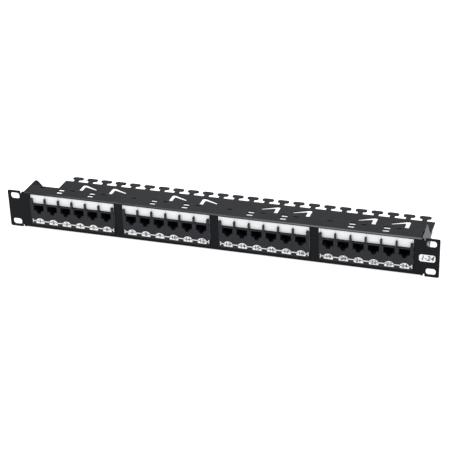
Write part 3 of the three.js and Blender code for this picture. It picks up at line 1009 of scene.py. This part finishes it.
blockLow, blockHigh = boxOf("wiring_block_01")
boardLow, boardHigh = boxOf("circuit_board_1")
wiring = {
    "baseDepth": 4.0,
    "teeth": 9,
    "toothWidth": 1.9,
    "channel": 2.2,
    "tipTaper": 0.5,
    "bladeWidth": 1.5,
    "bladeSlot": 0.36,
    "bladeSheet": 0.4,
    "bladeInset": 2.2,
    "tipDepth": 1.4,
    "codeSheet": 0.2,
    "codeHalfHeight": 0.85,
    "codeMargin": 0.8,
}
blockHalf = (blockHigh.x - blockLow.x) / 2
blockMiddle = (blockLow.z + blockHigh.z) / 2
blockBase = blockLow.y + wiring["baseDepth"]
toothGap = (2 * blockHalf - wiring["teeth"] * wiring["toothWidth"]) / (wiring["teeth"] - 1)
toothRows = [
    (blockLow.z, blockMiddle - wiring["channel"] / 2),
    (blockMiddle + wiring["channel"] / 2, blockHigh.z),
]


def toothRow():  # a comb seen from above
    front, back, half = blockLow.y, blockHigh.y, blockHalf
    width, taper = wiring["toothWidth"], wiring["tipTaper"]
    outline = [(-half, front), (half, front)]
    for tooth in range(wiring["teeth"] - 1, -1, -1):
        left = -half + tooth * (width + toothGap)
        right = left + width
        if tooth < wiring["teeth"] - 1:
            outline.append((right, blockBase))
        shoulder = back - wiring["tipDepth"]
        outline += [(right, shoulder), (right - taper, back)]
        outline += [(left + taper, back), (left, shoulder)]
        if tooth > 0:
            outline.append((left, blockBase))
    return outline


def makeWiringBlock():
    outline = toothRow()
    shapes = [moved(plate(outline, (), top - low, 0.18), lying(low)) for low, top in toothRows]
    baseLow, baseTop = toothRows[0][1] - 1, toothRows[1][0] + 1
    baseOutline = roundedBox(-blockHalf, blockHalf, baseLow, baseTop, 0.3, 2)
    base = plate(baseOutline, (), wiring["baseDepth"], 0.15)
    shapes.append(moved(base, standing(blockLow.y)))
    return together(shapes)


def makeBlades():
    wide, slot = wiring["bladeWidth"] / 2, wiring["bladeSlot"] / 2
    tip, base = blockHigh.y - wiring["bladeInset"], blockBase
    shapes = []
    for low, top in toothRows:
        z = (low + top) / 2 - wiring["bladeSheet"] / 2
        for step in range(wiring["teeth"] - 1):
            x = -blockHalf + wiring["toothWidth"] + toothGap / 2
            x += step * (wiring["toothWidth"] + toothGap)
            outline = [
                (x - wide, base - 0.5), (x + wide, base - 0.5), (x + wide, tip - 0.5),
                (x + slot + 0.15, tip), (x + slot, tip - 1), (x + slot, base + 1.2),
                (x - slot, base + 1.2), (x - slot, tip - 1), (x - slot - 0.15, tip),
                (x - wide, tip - 0.5),
            ]
            shapes.append(moved(plate(outline, (), wiring["bladeSheet"], 0.04, 0), lying(z)))
    return together(shapes)


def makeCode():
    half, reach = blockHalf - wiring["codeMargin"], wiring["codeHalfHeight"]
    outline = roundedBox(-half, half, blockMiddle - reach, blockMiddle + reach, 0.3, 2)
    return moved(plate(outline, (), wiring["codeSheet"], 0.05, 1), standing(blockBase))


for number, x in blockX.items():
    digits, at = f"{number:02d}", (x, 0, 0)
    block = sharedPiece("wiringBlock", digits, makeWiringBlock, "block", at)
    blades = sharedPiece("blades", digits, makeBlades, "tin", at)
    pairLabel = sharedPiece("pairLabel", digits, makeCode, "code", at)
    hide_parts(f"wiring_block_{digits}")

solder = {"radius": 0.62, "height": 0.7, "pitch": 1.27, "rowGap": 2.4, "low": 8.2}


def solderJoint(x, z):
    shape = bmesh.new()
    profile = [(1.0, 0.0), (0.78, 0.22), (0.5, 0.5), (0.36, 0.8), (0.0, 1.0)]
    rings = []
    for reach, rise in profile[:-1]:
        ring = []
        for i in range(8):
            turn = math.tau * i / 8
            ring.append(shape.verts.new((
                x + solder["radius"] * reach * math.cos(turn),
                boardHigh.y + solder["height"] * rise,
                z + solder["radius"] * reach * math.sin(turn),
            )))
        rings.append(ring)
    tip = shape.verts.new((x, boardHigh.y + solder["height"], z))
    for lower, upper in zip(rings, rings[1:]):
        for i in range(8):
            shape.faces.new((lower[i], lower[(i + 1) % 8], upper[(i + 1) % 8], upper[i]))
    for i in range(8):
        shape.faces.new((rings[-1][i], rings[-1][(i + 1) % 8], tip))
    shape.faces.new(rings[0][::-1])
    return shape


def makeSolder():
    shapes = []
    for offset in portOffsets:
        for pin in range(8):
            x = offset + (pin - 3.5) * solder["pitch"]
            shapes.append(solderJoint(x, solder["low"] + (pin % 2) * solder["rowGap"]))
    return together(shapes)


def makeBoardPlate():
    half = (boardHigh.x - boardLow.x) / 2
    outline = roundedBox(-half, half, boardLow.z, boardHigh.z, 1.0, 4)
    return moved(plate(outline, (), boardHigh.y - boardLow.y, 0.1, 1), standing(boardLow.y))


for number, x in moduleX.items():
    boardPiece = sharedPiece("board", number, makeBoardPlate, "board", (x, 0, 0))
    joints = sharedPiece("solder", number, makeSolder, "tin", (x, 0, 0))
    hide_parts(f"circuit_board_{number}")
print("boards and wiring blocks placed")

screw = {
    "headRadius": 2.8,
    "headHeight": 1.8,
    "shank": 1.5,
    "shankOverlap": 0.2,
    "recess": 0.55,
    "recessReach": 1.5,
    "recessDepth": 0.9,
}


def crossRecess():
    wide, long = screw["recess"] / 2, screw["recessReach"]
    corner = [(long, -wide), (long, wide), (wide, wide)]
    points = []
    for turn in range(4):
        for u, v in corner:
            for _ in range(turn):
                u, v = -v, u
            points.append((u, v))
    return points


def makeScrew(side, low, high):
    # the head faces the middle of the panel and the shank runs out to the arm
    ring = arc(0, 0, screw["headRadius"], 0, 348.75, 31)
    top = plate(ring, [crossRecess()], screw["recessDepth"], 0.35, 3)
    rest = plate(ring, (), screw["headHeight"] - screw["recessDepth"], 0.1, 1)
    shankStart = screw["headHeight"] - screw["shankOverlap"]
    shankLength = high.x - low.x - shankStart
    shank = plate(arc(0, 0, screw["shank"], 0, 345, 23), (), shankLength, 0.15, 1)
    y, z = (low.y + high.y) / 2, (low.z + high.z) / 2
    inner = low.x if side > 0 else -high.x

    def along(start):
        return lambda u, v, w: (side * (inner + start + w), y + u, z + v)

    return together([
        moved(top, along(0)),
        moved(rest, along(screw["recessDepth"])),
        moved(shank, along(shankStart)),
    ])


for number in range(1, 5):
    low, high = boxOf(f"tray_screw_{number}")
    piece = finishPiece(f"screw_{number}", makeScrew(1 if low.x > 0 else -1, low, high), "zinc")
    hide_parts(f"tray_screw_{number}")
print("screws in")

studio = {
    "floorColour": (0.62, 0.62, 0.62),
    "floorGlow": 0.78,  # a lit white table
    "floorSize": 8.0,
    "floorPatchColour": (0.85, 0.85, 0.85),
    "worldColour": (0.93, 0.95, 1.0, 1.0),
    "world": 0.77,
    "lights": [  # name, place, size, power
        ("overhead", (0.1, 0.3, 1.9), 2.2, 10),
        ("backSoftbox", (-0.5, 2.2, 1.3), 1.6, 5),
        ("foldLight", (-0.42, -0.68, 1.25), 0.5, 5),
        ("rightSoftbox", (1.7, 0.9, 0.5), 1.0, 8),
    ],
    "azimuth": 18.56,
    "elevation": 27.2,
    "roll": -1.945,
    "distance": 1.4297,
    "aim": (0.0123, 0, 0.0102),
    "lens": 107.7,
}


def makeFloor():
    shape = bmesh.new()
    bmesh.ops.create_grid(shape, x_segments=4, y_segments=4, size=studio["floorSize"] / 2)
    mesh = bpy.data.meshes.new("floor")
    shape.to_mesh(mesh)
    shape.free()
    floor = bpy.data.objects.new("floor", mesh)
    floor.location.z = cadBounds[0].z - 0.0002
    bpy.context.collection.objects.link(floor)
    shader = Shader("paleFloor")
    tone = shader.noise(3, 2)
    shader.set(
        colour=shader.mix(tone * 0.04, studio["floorColour"], studio["floorPatchColour"]),
        roughness=0.8, gloss=0.1,
    )
    shader.put(shader.surface.inputs["Emission Color"], (1.0, 1.0, 1.0))
    shader.put(shader.surface.inputs["Emission Strength"], studio["floorGlow"])
    mesh.materials.append(shader.material)


def makeLights():
    world = bpy.data.worlds.new("studio")
    world.use_nodes = True
    background = world.node_tree.nodes["Background"]
    background.inputs["Color"].default_value = studio["worldColour"]
    background.inputs["Strength"].default_value = studio["world"]
    bpy.context.scene.world = world
    for name, place, size, power in studio["lights"]:
        data = bpy.data.lights.new(name, "AREA")
        data.shape = "SQUARE"
        data.size = size
        data.energy = power
        light = bpy.data.objects.new(name, data)
        light.location = place
        light.rotation_mode = "QUATERNION"
        light.rotation_quaternion = (-Vector(place)).to_track_quat("-Z", "Y")
        bpy.context.collection.objects.link(light)


def makeCamera():
    turn, tilt = math.radians(studio["azimuth"]), math.radians(studio["elevation"])
    level = math.cos(tilt)
    back = Vector((math.sin(turn) * level, -math.cos(turn) * level, math.sin(tilt)))
    data = bpy.data.cameras.new("camera")
    data.lens = studio["lens"]
    data.sensor_width = 36
    camera = bpy.data.objects.new("camera", data)
    camera.location = Vector(studio["aim"]) + back * studio["distance"]
    camera.rotation_mode = "QUATERNION"
    roll = Quaternion((0, 0, 1), math.radians(studio["roll"]))
    camera.rotation_quaternion = (-back).to_track_quat("-Z", "Y") @ roll
    bpy.context.collection.objects.link(camera)
    bpy.context.scene.camera = camera


makeFloor()
makeLights()
makeCamera()
bpy.context.scene.view_settings.view_transform = "Standard"
print("studio ready")
